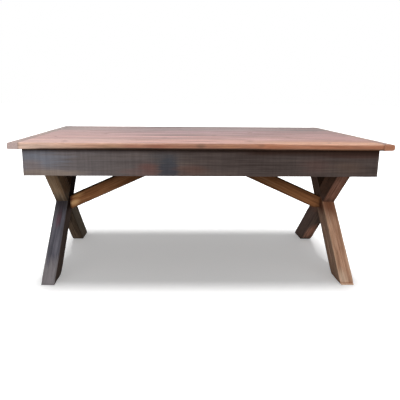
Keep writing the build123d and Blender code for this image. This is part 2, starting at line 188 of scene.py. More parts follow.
def wood(name, grain, seed, tones, pith, ring=6, figure=0.4, contrast=1.0, knots=(), stains_and_shading=(),
         edge="#B89878", edge_share=0.5, seam_share=0.6, end=None, raw=None, painted_shading=(), saw_marks=0.0,
         heart=0.0, checks=0.0, roughness=(0.45, 0.7), gloss=0.5, relief=0.3):
    """Timber sawn along its grain: rings round a pith, streaks, fibres, knots, stains, wear and dirt.

    tones are the dark, the middle and the pale of its streaks, and ring is the width in mm of a year's
    growth. end is the tone of its end grain, raw that of an unfinished underside, and painted_shading,
    which is painted light and shade, lies over the wear.
    """
    timber = Timber(name, grain, knots)
    away = Vector((seed * 3.7, 0, 0))

    # The patterns have their real lengths along the grain and widths across it in mm, but for the
    # fibres: real ones are a tenth as wide, and these are as coarse as they need to be to show.
    # A wave scale of pi / 10 makes one ring to each unit.
    rings = timber.add("TexWave", {
        "Vector": timber.drawn_out(pith + away, ring * 40, ring),
        "Scale": pi / 10, "Distortion": 6, "Detail": 3, "Detail Scale": 0.5, "Detail Roughness": 0.6,
    }, wave_type="RINGS", rings_direction="X", wave_profile="SAW").outputs["Fac"]
    streaks = timber.pattern(away, 380, 11, 5, 0.65)
    lines = timber.pattern(away + X, 240, 3.5, 4, 0.65)
    fibres = timber.pattern(away + Y, 45, 1.3, 3, 0.7)
    clouds = timber.pattern(away + Z, 420, 85, 3, 0.55)

    dark, middle, pale = tones
    both = timber.add("Math", {0: streaks, 1: clouds}, operation="ADD")
    tone = timber.add("Math", {0: both, 1: 0.5}, operation="MULTIPLY")
    swing = TONE_SWING / contrast
    timber.colour = timber.add("ValToRGB", {0: tone}, (
        (0.5 - swing, linear(dark)), (0.5, linear(middle)), (0.5 + swing, linear(pale))))
    timber.cover(timber.add("MapRange", {0: rings, 1: 0.35, 2: 1, 4: figure}), dark)
    if heart:
        # Darker streaks of heartwood, a finger or two wide and often a metre long.
        hearts = timber.pattern(away - Y, 900, 17, 4, 0.6)
        timber.cover(timber.add("MapRange", {0: hearts, 1: 0.53, 2: 0.68, 4: heart}), dark)
    for coat in stains_and_shading:
        coat(timber)
    for spot, size, bark in knots:
        knot(timber, spot, size, bark)
    if raw:
        below = timber.add("VectorMath", {0: timber.normal, 1: -Z}, operation="DOT_PRODUCT")
        timber.cover(timber.add("MapRange", {0: below, 1: 0.5, 2: 0.8}), raw)
    if end:
        across = timber.add("VectorMath", {0: timber.normal, 1: grain}, operation="DOT_PRODUCT")
        across = timber.add("Math", {0: across}, operation="ABSOLUTE")
        sawn = timber.add("Mix", {0: timber.add("MapRange", {0: rings, 1: 0.2, 2: 1, 4: 0.5}),
                                  6: linear(end), 7: linear(dark)}, data_type="RGBA")
        timber.colour = timber.add("Mix", {
            0: timber.add("MapRange", {0: across, 1: 0.7, 2: 0.9}), 6: timber.colour, 7: sawn},
            data_type="RGBA")
    for layer, share, code in (("wear", edge_share, edge), ("seam", seam_share, "#1E1612")):
        noted = timber.add("Attribute", attribute_name=layer).outputs["Fac"]
        timber.cover(timber.add("Math", {0: noted, 1: share}, operation="MULTIPLY"), code)
    for coat in painted_shading:
        coat(timber)
    # The grain shows through wear, dirt and the painted shading too.
    timber.shade(lines, 0.33, 0.67, GRAIN_SHADE * contrast)
    timber.shade(fibres, 0.3, 0.7, GRAIN_SHADE * contrast)
    if saw_marks:
        # Strokes of the saw stand across the grain.
        timber.shade(timber.pattern(away, 11, 210, 2), 0.35, 0.65, saw_marks)
    if checks:
        # Drying checks under half a millimetre wide, drawn as dark lines along the grain.
        cracks = timber.pattern(away + X + Y, 330, 3.2, 2, 0.5)
        timber.cover(timber.add("MapRange", {0: cracks, 1: 0.66, 2: 0.72, 4: checks}), "#120D0B")

    height = timber.add("Math", {0: fibres, 1: lines}, operation="ADD")
    height = timber.add("Math", {0: height, 1: rings}, operation="ADD")
    bump = timber.add("Bump", {"Height": height, "Strength": relief, "Distance": 0.5 * MM})
    rough = timber.add("MapRange", {0: clouds, 1: 0.3, 2: 0.7, 3: roughness[0], 4: roughness[1]})
    connect(timber.tree, timber.shader, {
        "Base Color": timber.colour, "Roughness": rough, "Normal": bump})
    timber.shader.inputs["Specular IOR Level"].default_value = gloss
    return timber.material


def zone(code, share, *limits, looks=None):
    """Another colour inside all its limits, which are soft and ragged, and on faces that look one way.

    A limit is its axis, where the colour begins and where it is full, and how ragged it is, in mm.
    """
    def paint(timber):
        wander = timber.pattern((0, 0, 0), 150, 12, 4)
        inside = share
        for axis, start, full, ragged in limits:
            shift = timber.add("MapRange", {
                0: wander, 1: 0.25, 2: 0.75, 3: -ragged * MM, 4: ragged * MM})
            place = timber.add("VectorMath", {0: timber.plain, 1: axis}, operation="DOT_PRODUCT")
            moved = timber.add("Math", {0: place, 1: shift}, operation="ADD")
            passed = timber.add("MapRange", {0: moved, 1: start * MM, 2: full * MM},
                                interpolation_type="SMOOTHSTEP")
            inside = timber.add("Math", {0: passed, 1: inside}, operation="MULTIPLY")
        if looks:
            square = timber.add("VectorMath", {0: timber.normal, 1: looks}, operation="DOT_PRODUCT")
            square = timber.add("MapRange", {0: square, 1: 0.5, 2: 0.8})
            inside = timber.add("Math", {0: square, 1: inside}, operation="MULTIPLY")
        timber.cover(inside, code)
    return paint


def stain_or_shade(spot, length, width, code, share=1, soft=0.5):
    """A patch of another colour round a spot, in mm. Its edge is soft and frays along the grain."""
    def paint(timber):
        frayed = timber.pattern(Vector(spot) * MM, 160, 9, 5)
        fray = timber.add("MapRange", {0: frayed, 1: 0.25, 2: 0.75, 3: -0.55, 4: 0.55})
        moved = timber.add("Math", {0: timber.distance(spot, length, width), 1: fray}, operation="ADD")
        inside = timber.add("MapRange", {0: moved, 1: 1 + soft, 2: 1 - soft, 4: share},
                            interpolation_type="SMOOTHSTEP")
        timber.cover(inside, code)
    return paint


KNOT_RINGS = 5


def knot(timber, spot, size, bark):
    """A knot of a size in mm: darkened grain round it, a rim of bark, rings round a redder heart."""
    uneven = timber.add("TexNoise", {
        "Vector": timber.plain, "Scale": 1 / (0.5 * size * MM), "Detail": 2})
    shift = timber.add("MapRange", {0: uneven.outputs[0], 1: 0.25, 2: 0.75, 3: -0.3, 4: 0.3})
    spread = timber.distance(spot, 0.8 * size, 0.5 * size)
    away = timber.add("Math", {0: spread, 1: shift}, operation="ADD")
    # Each coat begins and is full at these shares of the knot's size.
    for start, end, share, code in (
            (2.6, 1.0, 0.4, "#5A3A2C"), (1.2, 0.95, 0.6, "#4E2C1E"),
            (1.15, 0.92, bark, "#24140E"), (0.85, 0.7, 0.8, "#6E4430")):
        timber.cover(timber.add("MapRange", {0: away, 1: start, 2: end, 4: share}), code)
    inside = timber.add("MapRange", {0: away, 1: 0.85, 2: 0.75})
    counted = timber.add("Math", {0: away, 1: KNOT_RINGS}, operation="MULTIPLY")
    ring = timber.add("Math", {0: counted}, operation="FRACT")
    timber.cover(timber.add("Math", {0: ring, 1: inside}, operation="MULTIPLY"), "#3A2016")


# ---- boards with worn arrises ----
def merged_copy(node):
    """A bmesh of a CAD node, its corners joined and its flat faces whole."""
    shape = bmesh.new()
    shape.from_mesh(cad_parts[node].data)
    bmesh.ops.remove_doubles(shape, verts=shape.verts, dist=SAME_POINT)
    bmesh.ops.dissolve_limit(shape, angle_limit=radians(0.5), verts=shape.verts, edges=shape.edges)
    return shape


def grain_of(shape):
    """The direction of the longest arris, which is the grain's."""
    longest = max(shape.edges, key=lambda edge: edge.calc_length())
    first, second = longest.verts
    direction = (second.co - first.co).normalized()
    return direction if max(direction, key=abs) > 0 else -direction


def reach(shape, direction):
    """How far a shape goes along a direction, both ways."""
    places = [vert.co.dot(direction) for vert in shape.verts]
    return min(places), max(places)


def cut(shape, direction, places):
    """Adds cuts square to a direction, so that the faces can be worn."""
    for place in places:
        everything = shape.verts[:] + shape.edges[:] + shape.faces[:]
        bmesh.ops.bisect_plane(shape, geom=everything, dist=SAME_POINT,
                               plane_co=direction * place, plane_no=direction)


def cut_for_wear(shape, grain, side):
    """Cuts near the arrises, over the faces and along the grain."""
    for direction in (side, grain.cross(side).normalized()):
        low, high = reach(shape, direction)
        near = [place * MM for place in NEAR_CUTS]
        inner = high - low - 2 * near[-1]
        count = max(1, round(inner / (FACE_CUTS * MM)))
        middle = [low + near[-1] + inner * step / count for step in range(1, count)]
        cut(shape, direction, [low + n for n in near] + middle + [high - n for n in near])
    low, high = reach(shape, grain)
    count = round((high - low) / (GRAIN_CUTS * MM))
    cut(shape, grain, [low + (high - low) * step / count for step in range(1, count)])


def outer_planes(shape):
    """The planes that the whole shape lies behind, each as its normal and its distance."""
    points = np.array([vert.co for vert in shape.verts])
    planes = []
    for face in shape.faces:
        normal = face.normal.copy()
        distance = normal.dot(face.verts[0].co)
        if (points @ np.array(normal)).max() > distance + 2 * SAME_POINT:
            continue
        if all(normal.dot(other) < SAME_PLANE for other, _ in planes):
            planes.append((normal, distance))
    return planes


def weather(shape, planes, seams, seed, wear_depth, hollow_depth):
    """Wears the arrises, lets the faces wander inwards, and notes the wear for the finish.

    seams are planes where boards meet, with how dark each is. A neighbour there keeps wear away.
    """
    worn = shape.verts.layers.float.new("wear")
    dirty = shape.verts.layers.float.new("seam")
    shape.verts.ensure_lookup_table()
    points = np.array([vert.co for vert in shape.verts])
    normals = np.array([normal for normal, _ in planes])
    behind = np.array([distance for _, distance in planes]) - points @ normals.T
    away = Vector((seed * 11.3, seed * 5.1, seed * 2.3))
    for vert, depths in zip(shape.verts, behind):
        own = int(depths.argmin())
        kept = 0
        for normal, distance, darkness in seams:
            gap = abs(normal.dot(vert.co) - distance)
            vert[dirty] = max(vert[dirty], darkness * max(0, 1 - gap / (SEAM_REACH * MM)))
            kept = max(kept, 1 - gap / (WEAR_REACH * MM))
        # Joints and holes lie inside the outer planes and keep their shape.
        if depths[own] > 3 * SAME_POINT:
            continue
        apart = normals @ normals[own] < SAME_FACE
        near = np.where(apart, depths, 1.0)
        other = int(near.argmin())
        closeness = max(0.0, 1 - near[other] / (WEAR_REACH * MM))
        place = vert.co + away
        slow = noise.noise(place * SLOW_WEAR) * 0.5 + 0.5
        quick = noise.noise(place * QUICK_WEAR) * 0.5 + 0.5
        # An arris is bitten deepest where slow and quick wear fall together.
        bite = closeness ** 3 * (0.25 + 0.9 * slow * quick)
        bite *= 1 + FOOT_WEAR * max(0, 1 - vert.co.z / (FOOT_WEAR_HEIGHT * MM))
        bite *= 1 - 0.7 * kept
        inward = -(Vector(normals[own]) + Vector(normals[other])).normalized()
        wave = noise.noise(place * HOLLOWS) * 0.5 + 0.5
        vert.co += inward * bite * wear_depth - Vector(normals[own]) * wave * hollow_depth
        for normal, distance in planes:
            proud = normal.dot(vert.co) - distance
            if proud > 0:
                vert.co -= normal * proud
        vert[worn] = closeness ** 2 * (0.35 + 0.65 * slow) * (1 - 0.6 * kept)


def open_checks(shape, grain, checks):
    """Opens drying checks: narrow grooves along the grain that close towards their ends.

    Each is the face it is in, where it lies across that face, and where it starts and ends along the
    grain, in mm.
    """
    dirty = shape.verts.layers.float["seam"]
    for out, across_place, start, end in checks:
        across = grain.cross(out).normalized()
        outermost = reach(shape, out)[1]
        for vert in shape.verts:
            aside = vert.co.dot(across) - across_place * MM
            run = (vert.co.dot(grain) - start * MM) / ((end - start) * MM)
            # Only the cuts at the middle of the check and at its lips move.
            if abs(aside) > 1.5 * CHECK_HALF_WIDTH * MM or not 0 < run < 1:
                continue
            if vert.co.dot(out) < outermost - CHECK_DEPTH * MM:
                continue
            opening = sin(pi * run) ** 0.5
            stray = noise.noise(Vector((run * 5, across_place, start)))
            wander = stray * CHECK_WANDER * MM * sin(pi * run)
            vert.co += across * (wander - aside * (1 - opening))
            if abs(aside) < 0.5 * CHECK_HALF_WIDTH * MM:
                vert.co -= out * CHECK_DEPTH * MM * opening
                vert[dirty] = CHECK_DARKNESS


def finish_piece(shape, name, material, replaced):
    """Makes a shape a piece of the table that stands for CAD nodes."""
    for face in shape.faces:
        face.smooth = True
    for edge in shape.edges:
        edge.smooth = edge.calc_face_angle(0) < SHARP_ANGLE
    mesh = bpy.data.meshes.new(name)
    shape.to_mesh(mesh)
    shape.free()
    mesh.materials.append(material)
    piece = bpy.data.objects.new(name, mesh)
    bpy.context.scene.collection.objects.link(piece)
    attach(piece, "root")
    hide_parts(*replaced)
    return piece


def worn_board(node, side, seed, finish, seams=(), checks=(), underside=None, wear_depth=1.8,
               hollow_depth=0.5):
    """A worn board in the place of a CAD node. finish makes its material from its grain.

    side is the way that one pair of its long faces looks, and seed picks where it is worn. underside
    is the finish of the faces below the height where the varnish stops.
    """
    shape = merged_copy(node)
    grain = grain_of(shape)
    planes = outer_planes(shape)
    for out, across_place, start, end in checks:
        places = [across_place + shift for shift in (-CHECK_HALF_WIDTH, 0, CHECK_HALF_WIDTH)]
        cut(shape, grain.cross(out).normalized(), [place * MM for place in places])
    cut_for_wear(shape, grain, side)
    weather(shape, planes, seams, seed, wear_depth * MM, hollow_depth * MM)
    open_checks(shape, grain, checks)
    if underside:
        for face in shape.faces:
            face.material_index = int(face.calc_center_median().z < VARNISH_STOPS_Z)
    piece = finish_piece(shape, "worn_" + node, finish(grain), [node])
    if underside:
        piece.data.materials.append(underside(grain))
    return piece


# ---- finishes ----
PLANK_TONES = (
    ("#88594E", "#B4857B", "#D2A398"),
    ("#845C56", "#B08580", "#CCA19D"),
    ("#6A4846", "#9C7876", "#BC9896"),
    ("#604444", "#8C6A6B", "#AC8A8B"),
    ("#584444", "#7E6868", "#9C8888"),
    ("#4A3B3B", "#6A5757", "#857272"),
)
# Knots by plank: the middle and the size in mm, and how much of its bark each has kept.
PLANK_KNOTS = (
    (((-655, -430, 762), 13, 0.9), ((240, -395, 762), 16, 0.5), ((610, -452, 762), 10, 0.8)),
    (((-180, -265, 762), 15, 0.4), ((480, -215, 762), 12, 0.85), ((-760, -222, 762), 9, 0.6)),
    (((-520, -60, 762), 11, 0.7), ((90, -120, 762), 14, 0.9)),
    (((330, 70, 762), 16, 0.85), ((-350, 105, 762), 12, 0.35), ((745, 130, 762), 10, 0.75)),
    (((-90, 235, 762), 13, 0.6), ((580, 270, 762), 15, 0.9)),
    (((-610, 420, 762), 14, 0.8), ((180, 390, 762), 11, 0.45), ((700, 445, 762), 12, 0.9)),
)
# Drying checks in the top, by plank: the face, how far in front of the table's middle, start and
# end, in mm.
PLANK_CHECKS = (
    ((Z, 376, 560, 852),),
    ((Z, 262, -853, -640), (Z, 215, -120, 130)),
    ((Z, 47, 300, 560),),
    ((Z, -62, -853, -560),),
    ((Z, -232, 610, 853), (Z, -285, -420, -200)),
    ((Z, -395, -300, 60),),
)
# What is over the wood of the top.
COATS = {
    "varnished": {"roughness": (0.48, 0.62), "gloss": 0.3},
    "bare": {"roughness": (0.8, 0.95), "gloss": 0.0},
}
RAW_PINE = "#6E5A48"


def front_edge_stains_and_highlight():
    """The colours of the first plank's front edge, redder and paler by turns, and of the top by it."""
    front = (Y, -494, -499, 0.6)
    arris = (Y, -490, -496, 0.6)
    return [
        zone("#C08862", 0.8, (X, 60, 480, 60), (Y, -360, -470, 25)),
        zone("#D0AEA6", 0.4, (X, -150, -500, 60)),
        zone("#834F36", 0.9, front),
        zone("#945434", 0.5, (X, 160, 330, 30), front),
        zone("#B89078", 0.75, (X, -130, -640, 60), front),
        zone("#D2B6A6", 0.85, (X, -480, -840, 40), front),
        stain_or_shade((-430, -500, 745), 45, 13, "#8A6A48", 0.5, 0.7),
        stain_or_shade((-330, -500, 745), 40, 12, "#8C4C3C", 0.4, 0.7),
        stain_or_shade((-210, -500, 745), 50, 12, "#703024", 0.4, 0.7),
        stain_or_shade((-8, -500, 748), 20, 13, "#46281A", 0.75, 0.7),
        stain_or_shade((120, -500, 747), 50, 10, "#A4704E", 0.5, 0.8),
        # A pale line along the upper arris of the front edge: worn pale, and a painted highlight where
        # its rounding catches the light.
        zone("#DCAC94", 0.6, (X, 250, 560, 40), arris, (Z, 753, 759, 1.5)),
        zone("#D8B0A0", 0.35, (X, -110, -240, 40), arris, (Z, 752, 758, 1.2)),
        stain_or_shade((275, -500, 752), 14, 8, "#5A3420", 0.6, 0.7),
    ]


def reclaimed_plank(number, coat):
    """Reclaimed pine, red-brown and greyer to the back: satin where varnished, matt where bare."""
    # The pith lies under the plank, to one side or the other of its middle.
    centre_y = cad_low.y + (number - 0.5) * PLANK_WIDTH
    pith = Vector((0, centre_y + 0.03 * sin(number * 2.1), TOP_Z - 0.07))
    stains_and_shading = [zone("#7E544C", 0.45, (X, 0, 850, 80)), zone("#CAA6A0", 0.45, (X, -100, -850, 80))]
    painted_shading = []
    if number == 1:
        stains_and_shading += front_edge_stains_and_highlight()
        # The lower band of the front edge is painted dark, most in the middle: painted shade under the
        # top's edge. Towards its right end it is painted lighter: painted light.
        painted_shading += [
            zone("#1E0F08", 0.85, (X, -760, -250, 60), (X, 480, 200, 60), (Z, 742.5, 736, 1), looks=-Y),
            zone("#B88260", 0.7, (X, 430, 700, 40), (Y, -488, -494, 0.6), (Z, 740, 735, 1)),
        ]
    if number >= PLANK_COUNT - 1:
        stains_and_shading += [
            zone("#6A6662", 0.5, (X, -450, -850, 60)),
            zone("#5A5654", 0.45, (X, 350, 750, 60)),
            stain_or_shade((60, 300, 762), 420, 110, "#86706E", 0.4, 0.8),
        ]
    # The lower band of the outer edge of the front and back planks is painted dark: painted shade.
    if number in (1, PLANK_COUNT):
        outward = -Y if number == 1 else Y
        painted_shading.append(zone("#180B05", 0.95, (X, -850, -740, 20), (Z, 743, 732, 1.2), looks=outward))

    def finish(grain):
        return wood(
            f"{coat}_plank_{number}", grain, number, PLANK_TONES[number - 1], pith, ring=7,
            contrast=1.7, heart=0.55, knots=PLANK_KNOTS[number - 1], stains_and_shading=stains_and_shading, painted_shading=painted_shading,
            edge="#D8B098", edge_share=0.45, raw=RAW_PINE, **COATS[coat])
    return finish


END_LOOKS = {
    "left": {"tones": ("#806660", "#A08880", "#B8A49C"), "knots": (((-880, 150, 762), 10, 0.7),),
             "edge": "#C8B4AA", "edge_share": 0.25, "end": "#C2ADA8"},
    "right": {"tones": ("#6E5048", "#86665E", "#A08478"), "knots": (((878, -210, 762), 11, 0.5),),
              "edge": "#D2AE98", "edge_share": 0.35, "end": "#A26A4C"},
}


def reclaimed_end(side_name, coat):
    """The breadboard ends, of the same pine, greyer at the left and warmer at the right."""
    pith = Vector((SHOULDER_X * (1 if side_name == "right" else -1), 0, TOP_Z - 0.06))
    stains_and_shading = [zone("#6C6866", 0.6, (Y, -260, 250, 60))]

    def finish(grain):
        return wood(
            f"{coat}_end_{side_name}", grain, 9.5, pith=pith, ring=4, contrast=1.3, stains_and_shading=stains_and_shading,
            seam_share=0.35, raw=RAW_PINE, **END_LOOKS[side_name], **COATS[coat])
    return finish


def weathered_apron(place):
    """Old weathered boards, waxed: slate grey at the front's left, near black brown to the right."""
    outward = {"front": -Y, "back": Y, "left": -X, "right": X}[place]
    # The top of each outer face is painted dark under the top's overhang, and the front's reaches
    # further down towards its middle and right: painted shade.
    stains_and_shading, painted_shading = [], [zone("#20120C", 0.85, (Z, 702, 730, 1.5), looks=outward)]
    if place == "front":
        painted_shading += [
            zone("#2C1B14", 0.75, (X, 60, 320, 60), (Z, 688, 716, 3)),
            zone("#2C1B14", 0.35, (X, 560, 720, 60), (Z, 676, 700, 3)),
        ]
    if place == "back":
        stains_and_shading = [
            zone("#6E6866", 0.7, (X, -200, 800, 150)),
            stain_or_shade((-420, 476, 650), 200, 40, "#5E463C", 0.6, 0.8),
        ]
    if place in ("front", "left"):
        stains_and_shading = [
            zone("#787274", 1, (X, 60, -960, 120)),
            stain_or_shade((-440, -476, 655), 260, 70, "#5A5250", 0.45),
            stain_or_shade((-850, -476, 680), 180, 44, "#70747E", 0.75),
            stain_or_shade((-805, -476, 650), 50, 26, "#80706A", 0.55, 0.7),
            stain_or_shade((-740, -476, 612), 170, 17, "#8A7B70", 0.75),
            stain_or_shade((-255, -476, 634), 48, 30, "#6A443E", 0.55, 0.7),
            stain_or_shade((-320, -476, 618), 70, 16, "#685350", 0.5),
            stain_or_shade((-158, -476, 632), 44, 60, "#3C3D44", 0.85, 0.35),
            stain_or_shade((-178, -476, 690), 60, 34, "#44464A", 0.5, 0.8),
            stain_or_shade((-50, -476, 632), 72, 22, "#624840", 0.55, 0.6),
            stain_or_shade((545, -476, 652), 60, 34, "#5A403A", 0.4, 0.9),
            stain_or_shade((700, -476, 645), 70, 28, "#5A463A", 0.4, 0.9),
            stain_or_shade((720, -476, 700), 130, 9, "#5A362C", 0.3, 0.8),
        ]

    def finish(grain):
        return wood(
            f"weathered_apron_{place}", grain, 21 + len(place), ("#362D2A", "#504643", "#66584F"),
            Vector((0.3, 0, 0.9)), ring=5, figure=0.2, contrast=0.65, stains_and_shading=stains_and_shading, edge="#6A5A52",
            edge_share=0.25, painted_shading=painted_shading, end="#4A3C36", saw_marks=0.07, checks=0.5,
            roughness=(0.75, 0.9), gloss=0.06, relief=0.4)
    return finish


LEAN = radians(47.3)            # of the beams, from the floor
BEAM_TONES = {
    "leg_front_left": ("#47454C", "#615F67", "#7A777F"),
    "leg_back_left": ("#514539", "#776453", "#917F6A"),
    "leg_front_right": ("#84604A", "#A88068", "#C8A48A"),
    "leg_back_right": ("#573A2E", "#7D5847", "#9B7160"),
}
BEAM_EDGES = {
    "leg_front_left": "#54504F", "leg_back_left": "#1E1814",
    "leg_front_right": "#CDAE92", "leg_back_right": "#241813",
}


def weathered_beam(node):
    """Old framing timber, matt under its grey and brown weathering, with painted shade under the top
    and by the crossing.
    """
    side_name = node.split("_")[-1]
    inward = X if side_name == "left" else -X
    # Out of the beam's face that looks down and forward.
    forward = Vector((0, -sin(LEAN), -cos(LEAN)))
    stains_and_shading = {
        "leg_front_left": [
            stain_or_shade((-791, -138, 289), 60, 14, "#5A3C44", 0.75),
            stain_or_shade((-798, -90, 335), 70, 40, "#403B40", 0.6),
            zone("#8A8485", 0.75, (Z, 130, 60, 25)),
            zone("#73635A", 0.9, looks=inward),
            # Darker towards the crossing, and on the inner face by it: painted shade.
            zone("#343034", 0.65, (Z, 285, 345, 12)),
            zone("#33241C", 0.85, (Z, 300, 345, 10), looks=inward),
        ],
        "leg_back_left": [
            zone("#A08468", 0.6, (Z, 395, 450, 10)),
            stain_or_shade((-768, -190, 490), 150, 9, "#7A5C40", 0.5),
            zone("#8C8072", 0.85, looks=inward),
            # The upper part of the inner face is painted tan: painted light along its arris.
            zone("#836850", 0.95, (Z, 390, 450, 8), looks=inward),
        ],
        "leg_front_right": [
            # Darker towards the crossing: painted shade.
            zone("#6E4A38", 0.85, (Z, 230, 340, 30)),
            stain_or_shade((772, -390, 25), 60, 22, "#C8B09A", 0.6),
            zone("#AE8E7A", 0.85, looks=inward),
            # The inner face is darker by the crossing and the brace's end: painted shade.
            zone("#6A4836", 0.9, (Z, 270, 345, 10), looks=inward),
            stain_or_shade((806, -62, 352), 52, 60, "#5A3422", 0.6, 0.8),
            zone("#8E5C44", 0.6, (Z, 16, 12, 1.5)),
            zone("#C8A890", 0.7, (Z, 9, 6, 1)),
        ],
        "leg_back_right": [
            zone("#6C6058", 0.75, (Z, 330, 250, 40)),
            stain_or_shade((800, 190, 90), 90, 34, "#BC8670", 0.8),
            zone("#7E6A62", 0.8, looks=inward),
            zone("#946E5C", 0.7, (Z, 240, 310, 10), (Z, 375, 360, 4), looks=inward),
            zone("#6A5042", 0.95, (Z, 380, 430, 0), looks=inward),
        ],
    }[node]
    # The lap of the two beams begins here, and its corner is painted dark: painted shade.
    stains_and_shading.append(stain_or_shade((-790 * inward.x, -66, 365), 36, 48, "#1C1512", 0.5, 0.9))
    # The upper halves of the front beams, under the top, are painted dark: painted shade. The right one
    # is also painted darker about the crossing.
    if node.startswith("leg_front"):
        upper = {"left": "#332A2A", "right": "#7A6258"}[side_name]
        painted_shading = [zone("#4A382C", 1, (Z, 385, 425, 6)), zone(upper, 1, (Z, 370, 400, 6), looks=inward)]
        if side_name == "right":
            painted_shading.append(zone("#7E523C", 0.55, (Z, 305, 350, 8), (Z, 395, 370, 4)))
    else:
        # The inner faces of the back beams' upper halves take another colour, graded from the arris by
        # the forward face: painted light and shade under the top.
        upper = {"left": "#5E4C40", "right": "#7E604F"}[side_name]
        painted_shading = [zone(upper, 0.85, (Z, 380, 440, 0), (forward, -214, -292, 5), looks=inward)]

    def finish(grain):
        return wood(
            f"weathered_{node}", grain, 31 + len(node), BEAM_TONES[node], Vector((0, 0.02, 0.365)),
            ring=6, figure=0.4, contrast=1.35, stains_and_shading=stains_and_shading, painted_shading=painted_shading, edge=BEAM_EDGES[node],
            edge_share=0.55, end="#5A4A3C", checks=0.6, roughness=(0.8, 0.95), gloss=0.0, relief=0.4)
    return finish


def oiled_brace(side_name):
    """Orange-brown timber, oiled and matt, with a pale patch at the left one's end, and painted shade
    on its top face and arrises.
    """
    # The top face is painted dark brown: painted shade under the table's top.
    stains_and_shading = [zone("#3A281C", 0.9, looks=Z)]
    if side_name == "left":
        stains_and_shading += [
            stain_or_shade((-706, -30, 388), 34, 11, "#B08458", 0.75, 0.7),
            stain_or_shade((-728, -30, 345), 30, 16, "#C49A6C", 0.9, 0.6),
            stain_or_shade((-722, -30, 366), 26, 6, "#8A5C3A", 0.6, 0.6),
            stain_or_shade((-750, -30, 370), 14, 18, "#6E4230", 0.8, 0.5),
        ]

    # The arrises take near black through the wear layer: painted shade along its edges.
    def finish(grain):
        return wood(
            f"oiled_brace_{side_name}", grain, 41 + len(side_name), ("#633F28", "#8C5E3C", "#A97E5C"),
            Vector((0, 0.05, 0.3)), stains_and_shading=stains_and_shading, edge="#1E120C", edge_share=0.95, end="#6E4A2E",
            roughness=(0.7, 0.85), gloss=0.0)
    return finish


def sawn_softwood(name, seed):
    """Plain sawn pine inside the frame: pale, dry and unfinished, with the saw's strokes left on it."""
    def finish(grain):
        return wood(
            name, grain, seed, ("#9A7A52", "#B8966A", "#CDB088"), Vector((0, 0, 0.6)), ring=5,
            edge="#D8C0A0", edge_share=0.3, end="#A88458", saw_marks=0.08, checks=0.3,
            roughness=(0.7, 0.85), gloss=0.2)
    return finish


def beech_dowel():
    """Beech pegs cut flush: end grain, close and pale brown with small flecks."""
    return wood(
        "beech_dowel", Z, 61, ("#8A6444", "#A87E58", "#BE966E"), Vector((0, 0, 0)), ring=1.2,
        edge_share=0.0, end="#9A7450", roughness=(0.6, 0.75), gloss=0.25)


def zinc_steel():
    """Zinc-plated steel, dulled: a grey metal with the faint mottle of its plating."""
    material, tree, shader = start_material("zinc_steel")
    place = add(tree, "TexCoord").outputs["Object"]
    mottle_size, scratch_size = 4 * MM, 0.6 * MM
    mottle = add(tree, "TexNoise", {"Vector": place, "Scale": 1 / mottle_size, "Detail": 3}).outputs[0]
    colour = add(tree, "ValToRGB", {0: mottle}, ((0.3, linear("#6A6864")), (0.7, linear("#98968F"))))
    rough = add(tree, "MapRange", {0: mottle, 1: 0.3, 2: 0.7, 3: 0.35, 4: 0.6})
    scratches = add(tree, "TexNoise", {"Vector": place, "Scale": 1 / scratch_size, "Detail": 2})
    bump = add(tree, "Bump", {"Height": scratches.outputs[0], "Strength": 0.15, "Distance": 0.1 * MM})
    connect(tree, shader, {"Base Color": colour, "Roughness": rough, "Normal": bump, "Metallic": 1})
    return material


# ---- the boards and beams ----
# Where boards of the top meet, and how dark the dirt is there.
SEAM_PLANES = [(Y, cad_low.y + step * PLANK_WIDTH, 1) for step in range(1, PLANK_COUNT)]
END_PLANES = [(X, -SHOULDER_X, 0.4), (X, SHOULDER_X, 0.4)]
# The face, the place across it and along the grain of each drying check, in mm.
BEAM_CHECKS = {
    "front": ((X, -236, -190, 60), (X, -262, 420, 690), (-X, 252, -150, 90), (-X, 230, 470, 700)),
    "back": ((X, 240, -200, 40), (X, 262, 450, 700), (-X, -238, -170, 70), (-X, -258, 430, 640)),
}

for number in range(1, PLANK_COUNT + 1):
    worn_board(f"plank_{number}", Z, number, reclaimed_plank(number, "varnished"),
               SEAM_PLANES + END_PLANES, PLANK_CHECKS[number - 1], reclaimed_plank(number, "bare"))
for end in ("left", "right"):
    worn_board(f"breadboard_end_{end}", Z, 8 + len(end), reclaimed_end(end, "varnished"),
               END_PLANES, underside=reclaimed_end(end, "bare"))
    for place in ("front", "back"):
        worn_board(f"leg_{place}_{end}", X, 20 + len(place + end), weathered_beam(f"leg_{place}_{end}"),
                   checks=BEAM_CHECKS[place], wear_depth=2.5, hollow_depth=0.8)
    worn_board(f"brace_{end}", Y, 40 + len(end), oiled_brace(end))
    worn_board(f"leg_cleat_{end}", Z, 60 + len(end), sawn_softwood(f"sawn_cleat_{end}", 51 + len(end)))
worn_board("centre_batten", Z, 70, sawn_softwood("sawn_batten", 58))
for place in ("front", "back", "left", "right"):
    worn_board(f"apron_{place}", Z, 50 + len(place), weathered_apron(place))
for place in ("front_left", "front_right", "back_left", "back_right"):
    block_finish = sawn_softwood(f"sawn_block_{place}", 60 + len(place))
    worn_board(f"corner_block_{place}", X, 80 + len(place), block_finish)


# ---- fasteners ----
def solids_of(node, outward):
    """The outer end, the outward direction and the length of each solid in a CAD node."""
    shape = merged_copy(node)
    for vert in shape.verts:
        vert.tag = False
    found = []
    for start in shape.verts:
        if start.tag:
            continue
        start.tag = True
        reached, points = [start], []
        while reached:
            vert = reached.pop()
            points.append(tuple(vert.co))
            for edge in vert.link_edges:
                other = edge.other_vert(vert)
                if not other.tag:
                    other.tag = True
                    reached.append(other)
        low, high = Vector(np.min(points, axis=0)), Vector(np.max(points, axis=0))
        middle = (low + high) / 2
        direction = outward(middle)
        length = abs(direction.dot(high - low))
        found.append((middle + direction * length / 2, direction, length))
    shape.free()
    return found


